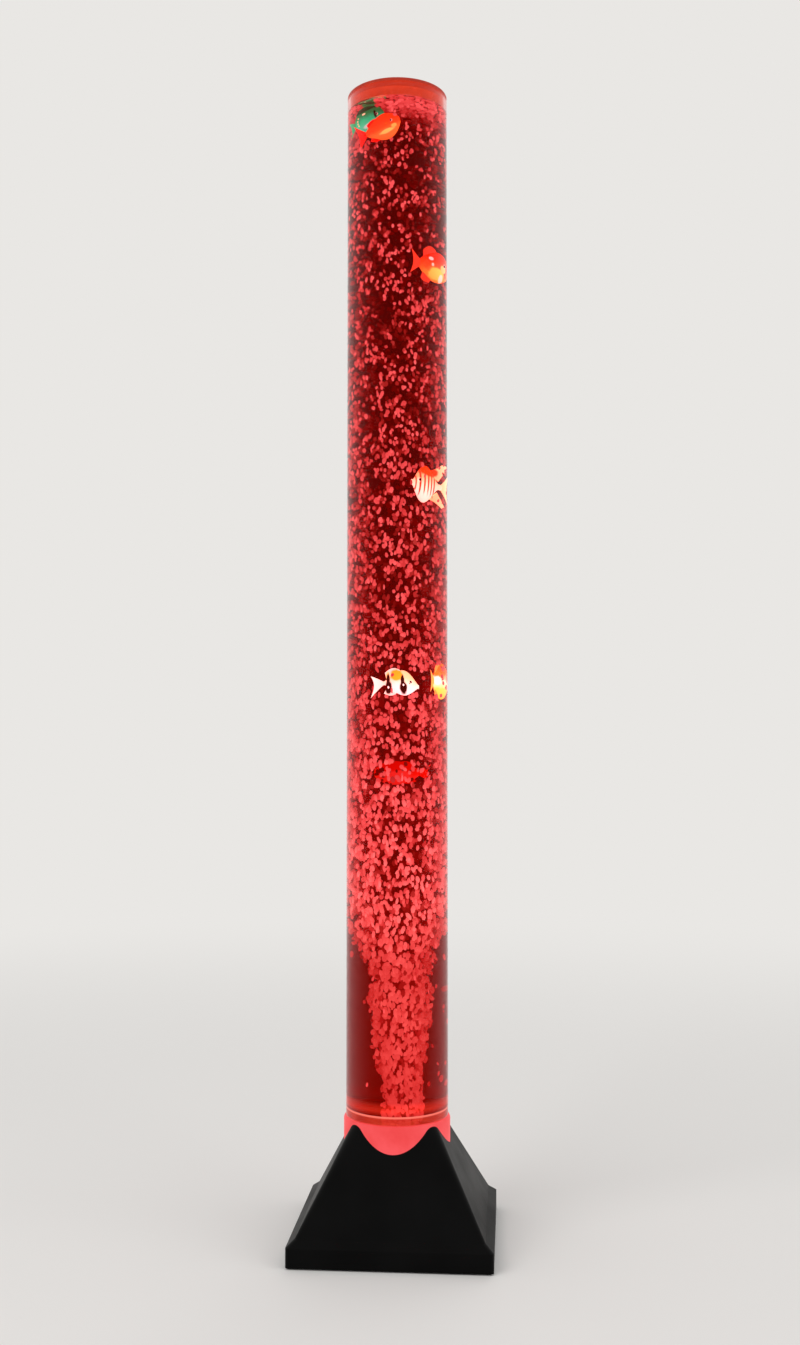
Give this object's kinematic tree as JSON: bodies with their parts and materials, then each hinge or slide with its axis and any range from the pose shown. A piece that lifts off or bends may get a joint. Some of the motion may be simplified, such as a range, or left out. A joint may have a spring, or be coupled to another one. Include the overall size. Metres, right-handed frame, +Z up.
{
  "type": "bubble tube floor lamp",
  "caption": "Tall clear water column with drifting toy fish, held in a glowing socket cup on a black pyramid foot with an air pump and lights inside.",
  "frame": {"origin": "on the floor, at the middle of the square foot", "axes": "+Z up along the tube; -Y towards the front face, +Y towards the back with the power inlet and the button"},
  "size_m": [0.203, 0.203, 1.2],
  "materials": {
    "black_abs": "satin",
    "cover_abs": "matte",
    "foot_rubber": "matte",
    "zinc_screw": "satin",
    "frosted_acrylic": "satin",
    "clear_acrylic": "gloss",
    "lid_acrylic": "satin",
    "silicone": "satin",
    "board_green": "satin",
    "board_white": "satin",
    "led_package": "gloss",
    "nickel_brass": "satin",
    "stone_grit": "matte",
    "grey_plastic": "satin",
    "pump_grey": "satin",
    "core_iron": "satin",
    "bobbin_white": "satin",
    "copper_winding": "satin",
    "arm_plastic": "satin",
    "magnet_nickel": "satin",
    "diaphragm_rubber": "matte",
    "component_black": "satin",
    "button_abs": "satin",
    "fish_green": "gloss",
    "fish_orange_red": "gloss",
    "fish_red_yellow": "gloss",
    "fish_cream": "gloss",
    "fish_white": "gloss",
    "fish_gold": "gloss",
    "fish_deep_red": "gloss"
  },
  "bodies": {
    "root": {"base_shell": "black_abs", "bottom_cover": "cover_abs", "cover_screws": "zinc_screw", "rubber_feet": "foot_rubber", "tube_socket": "frosted_acrylic", "cup_screws": "zinc_screw", "tube_seal": "silicone", "water_tube": "clear_acrylic", "light_ring": "board_white", "light_chips": "led_package", "ring_screws": "zinc_screw", "air_inlet": "nickel_brass", "inlet_washer": "silicone", "inlet_nut": "nickel_brass", "stone_cup": "grey_plastic", "air_stone": "stone_grit", "pump_hose": "silicone", "check_valve": "grey_plastic", "inlet_hose": "silicone", "pump_tray": "pump_grey", "pump_lid": "pump_grey", "pump_case_screws": "zinc_screw", "pump_pads": "foot_rubber", "pump_core": "core_iron", "coil_bobbin": "bobbin_white", "pump_coil": "copper_winding", "pivot_pin": "zinc_screw", "pump_diaphragm": "diaphragm_rubber", "valve_block": "grey_plastic", "control_board": "board_green", "board_screws": "zinc_screw", "board_parts": "component_black", "power_inlet": "component_black", "mode_switch": "component_black"},
    "lid": {"lid": "lid_acrylic"},
    "mode_button": {"mode_button": "button_abs", "switch_plunger": "arm_plastic"},
    "swing_arm": {"pump_arm": "arm_plastic", "pump_magnet": "magnet_nickel", "arm_screw": "zinc_screw"},
    "fish_teal": {"fish_teal": "fish_green"},
    "fish_orange": {"fish_orange": "fish_orange_red"},
    "fish_red": {"fish_red": "fish_red_yellow"},
    "fish_striped": {"fish_striped": "fish_cream"},
    "fish_banded": {"fish_banded": "fish_white"},
    "fish_amber": {"fish_amber": "fish_gold"},
    "fish_scarlet": {"fish_scarlet": "fish_deep_red"}
  },
  "joints": [
    {"name": "lid_lift", "type": "slide", "parent": "root", "child": "lid", "axis": [0, 0, 1], "range_m": [0, 0.06]},
    {"name": "button_press", "type": "slide", "parent": "root", "child": "mode_button", "axis": [0, -1, 0], "range_m": [0, 0.0008], "stiffness_N_per_m": 900},
    {"name": "arm_swing", "type": "hinge", "parent": "root", "child": "swing_arm", "pos_m": [-0.0529, -0.0238, 0.0238], "axis": [1, 0, 0], "range_deg": [-1.5, 1.5], "stiffness_Nm_per_rad": 1, "deforming": ["pump_diaphragm"]},
    {"name": "fish_teal_drift", "type": "slide", "parent": "root", "child": "fish_teal", "axis": [0, 0, 1], "range_m": [-0.06, 0.003]},
    {"name": "fish_orange_drift", "type": "slide", "parent": "root", "child": "fish_orange", "axis": [0, 0, 1], "range_m": [-0.05, 0.008]},
    {"name": "fish_red_drift", "type": "slide", "parent": "root", "child": "fish_red", "axis": [0, 0, 1], "range_m": [-0.085, 0.045]},
    {"name": "fish_striped_drift", "type": "slide", "parent": "root", "child": "fish_striped", "axis": [0, 0, 1], "range_m": [-0.085, 0.09]},
    {"name": "fish_banded_drift", "type": "slide", "parent": "root", "child": "fish_banded", "axis": [0, 0, 1], "range_m": [-0.03, 0.07]},
    {"name": "fish_amber_drift", "type": "slide", "parent": "root", "child": "fish_amber", "axis": [0, 0, 1], "range_m": [-0.03, 0.07]},
    {"name": "fish_scarlet_drift", "type": "slide", "parent": "root", "child": "fish_scarlet", "axis": [0, 0, 1], "range_m": [-0.32, 0.03]}
  ]
}
